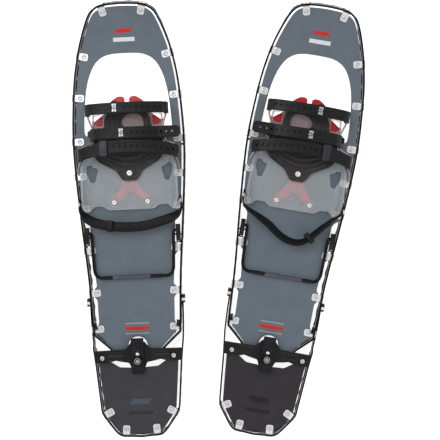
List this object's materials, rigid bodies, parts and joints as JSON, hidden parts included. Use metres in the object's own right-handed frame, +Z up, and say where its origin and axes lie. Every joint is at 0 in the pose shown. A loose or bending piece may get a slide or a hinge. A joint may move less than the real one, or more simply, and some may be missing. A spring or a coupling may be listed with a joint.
{
  "type": "snowshoes",
  "caption": "Mountain snowshoes with toothed rail frames, cloth decks, pivoting strap bindings with crampons, heel lifters and removable flotation tails.",
  "frame": {"origin": "middle of the pair's bounding box, on the ground under the teeth", "axes": "+X to the wearer's right, +Y towards the toes, +Z up"},
  "size_m": [0.5222, 0.7758, 0.0695],
  "materials": {
    "rail": "satin black coating over aluminium, worn at the teeth",
    "deck_cloth": "slate grey coated fabric, fine weave under a matt coating",
    "steel": "stainless steel, lightly brushed",
    "moulding": "black moulded nylon with a fine grain",
    "bail_wire": "black coated steel wire",
    "sleeve": "mid grey moulded sleeve",
    "crampon_paint": "glossy red powder coat on pressed steel",
    "clear_plate": "translucent smoke-grey moulded plastic, softly polished",
    "elastomer": "matt black elastomer",
    "buckle_steel": "bright pressed steel frame with its prong, on an elastomer tab",
    "dark_buckle": "dark moulded buckle with steel glints, on an elastomer tab",
    "tail_cloth": "charcoal coated fabric"
  },
  "bodies": {
    "left_frame": {"left_frame_rail": "rail", "left_deck": "deck_cloth", "left_front_crossbar": "rail", "left_rear_crossbar": "rail", "left_pivot_axle": "steel", "left_lifter_bracket_inner": "moulding", "left_lifter_bracket_outer": "moulding"},
    "left_binding": {"left_crampon": "crampon_paint", "left_base_plate": "clear_plate", "left_forefoot_pad": "elastomer", "left_pad_rivet": "steel", "left_side_wire_inner": "steel", "left_side_wire_outer": "steel", "left_toe_buckle": "buckle_steel", "left_mid_buckle": "buckle_steel", "left_instep_buckle": "dark_buckle"},
    "left_toe_strap_body": {"left_toe_strap": "elastomer"},
    "left_mid_strap_body": {"left_mid_strap": "elastomer"},
    "left_instep_strap_body": {"left_instep_strap": "elastomer"},
    "left_heel_strap_body": {"left_heel_strap": "elastomer", "left_heel_keeper": "moulding"},
    "left_lifter_body": {"left_heel_lifter": "bail_wire", "left_lifter_sleeve": "sleeve"},
    "left_tail": {"left_tail_frame": "rail", "left_tail_sheet": "tail_cloth", "left_tail_crossbar": "moulding", "left_tail_screw_inner": "steel", "left_tail_screw_outer": "steel", "left_tail_clip": "moulding"},
    "left_knob": {"left_tail_knob": "moulding"},
    "right_frame": {"right_frame_rail": "rail", "right_deck": "deck_cloth", "right_front_crossbar": "rail", "right_rear_crossbar": "rail", "right_pivot_axle": "steel", "right_lifter_bracket_inner": "moulding", "right_lifter_bracket_outer": "moulding"},
    "right_binding": {"right_crampon": "crampon_paint", "right_base_plate": "clear_plate", "right_forefoot_pad": "elastomer", "right_pad_rivet": "steel", "right_side_wire_inner": "steel", "right_side_wire_outer": "steel", "right_toe_buckle": "buckle_steel", "right_mid_buckle": "buckle_steel", "right_instep_buckle": "dark_buckle"},
    "right_toe_strap_body": {"right_toe_strap": "elastomer"},
    "right_mid_strap_body": {"right_mid_strap": "elastomer"},
    "right_instep_strap_body": {"right_instep_strap": "elastomer"},
    "right_heel_strap_body": {"right_heel_strap": "elastomer", "right_heel_keeper": "moulding"},
    "right_lifter_body": {"right_heel_lifter": "bail_wire", "right_lifter_sleeve": "sleeve"},
    "right_tail": {"right_tail_frame": "rail", "right_tail_sheet": "tail_cloth", "right_tail_crossbar": "moulding", "right_tail_screw_inner": "steel", "right_tail_screw_outer": "steel", "right_tail_clip": "moulding"},
    "right_knob": {"right_tail_knob": "moulding"}
  },
  "joints": [
    {"name": "left_binding_pivot", "type": "hinge", "parent": "left_frame", "child": "left_binding", "pos_m": [-0.15998, 0.15342, 0.016], "axis": [-0.999, -0.0454, 0], "range_deg": [0, 55]},
    {"name": "left_toe_strap_open", "type": "hinge", "parent": "left_binding", "child": "left_toe_strap_body", "pos_m": [-0.09324, 0.19599, 0.036], "axis": [0.0454, -0.999, 0], "range_deg": [-85, 0]},
    {"name": "left_mid_strap_open", "type": "hinge", "parent": "left_binding", "child": "left_mid_strap_body", "pos_m": [-0.09886, 0.15219, 0.037], "axis": [0.0454, -0.999, 0], "range_deg": [-35, 0]},
    {"name": "left_instep_strap_open", "type": "hinge", "parent": "left_binding", "child": "left_instep_strap_body", "pos_m": [-0.07478, 0.12025, 0.044], "axis": [0.0454, -0.999, 0], "range_deg": [-60, 0]},
    {"name": "left_heel_strap_swing", "type": "hinge", "parent": "left_binding", "child": "left_heel_strap_body", "pos_m": [-0.15435, 0.02955, 0.039], "axis": [-0.999, -0.0454, 0], "range_deg": [0, 55]},
    {"name": "left_heel_lifter", "type": "hinge", "parent": "left_frame", "child": "left_lifter_body", "pos_m": [-0.15204, -0.0214, 0.0296], "axis": [-0.999, -0.0454, 0], "range_deg": [0, 95]},
    {"name": "left_tail_slide", "type": "slide", "parent": "left_frame", "child": "left_tail", "axis": [0.0454, -0.999, 0], "range_m": [0, 0.15]},
    {"name": "left_knob_turn", "type": "hinge", "parent": "left_tail", "child": "left_knob", "pos_m": [-0.14174, -0.24817, 0.037], "axis": [0, 0, 1], "range_deg": [0, 90]},
    {"name": "right_binding_pivot", "type": "hinge", "parent": "right_frame", "child": "right_binding", "pos_m": [0.15151, 0.15061, 0.016], "axis": [-0.986, 0.1668, 0], "range_deg": [0, 55]},
    {"name": "right_toe_strap_open", "type": "hinge", "parent": "right_binding", "child": "right_toe_strap_body", "pos_m": [0.09045, 0.20099, 0.036], "axis": [0.1668, 0.986, 0], "range_deg": [-85, 0]},
    {"name": "right_mid_strap_open", "type": "hinge", "parent": "right_binding", "child": "right_mid_strap_body", "pos_m": [0.09069, 0.15684, 0.037], "axis": [0.1668, 0.986, 0], "range_deg": [-35, 0]},
    {"name": "right_instep_strap_open", "type": "hinge", "parent": "right_binding", "child": "right_instep_strap_body", "pos_m": [0.06291, 0.12807, 0.044], "axis": [0.1668, 0.986, 0], "range_deg": [-60, 0]},
    {"name": "right_heel_strap_swing", "type": "hinge", "parent": "right_binding", "child": "right_heel_strap_body", "pos_m": [0.13083, 0.02834, 0.039], "axis": [-0.986, 0.1668, 0], "range_deg": [0, 55]},
    {"name": "right_heel_lifter", "type": "hinge", "parent": "right_frame", "child": "right_lifter_body", "pos_m": [0.12232, -0.02194, 0.0296], "axis": [-0.986, 0.1668, 0], "range_deg": [0, 95]},
    {"name": "right_tail_slide", "type": "slide", "parent": "right_frame", "child": "right_tail", "axis": [-0.1668, -0.986, 0], "range_m": [0, 0.15]},
    {"name": "right_knob_turn", "type": "hinge", "parent": "right_tail", "child": "right_knob", "pos_m": [0.08446, -0.24576, 0.037], "axis": [0, 0, 1], "range_deg": [0, 90]},
    {"name": "right_shoe_lift", "type": "slide", "parent": "left_frame", "child": "right_frame", "axis": [0, 0, 1], "range_m": [0, 0.3]}
  ]
}
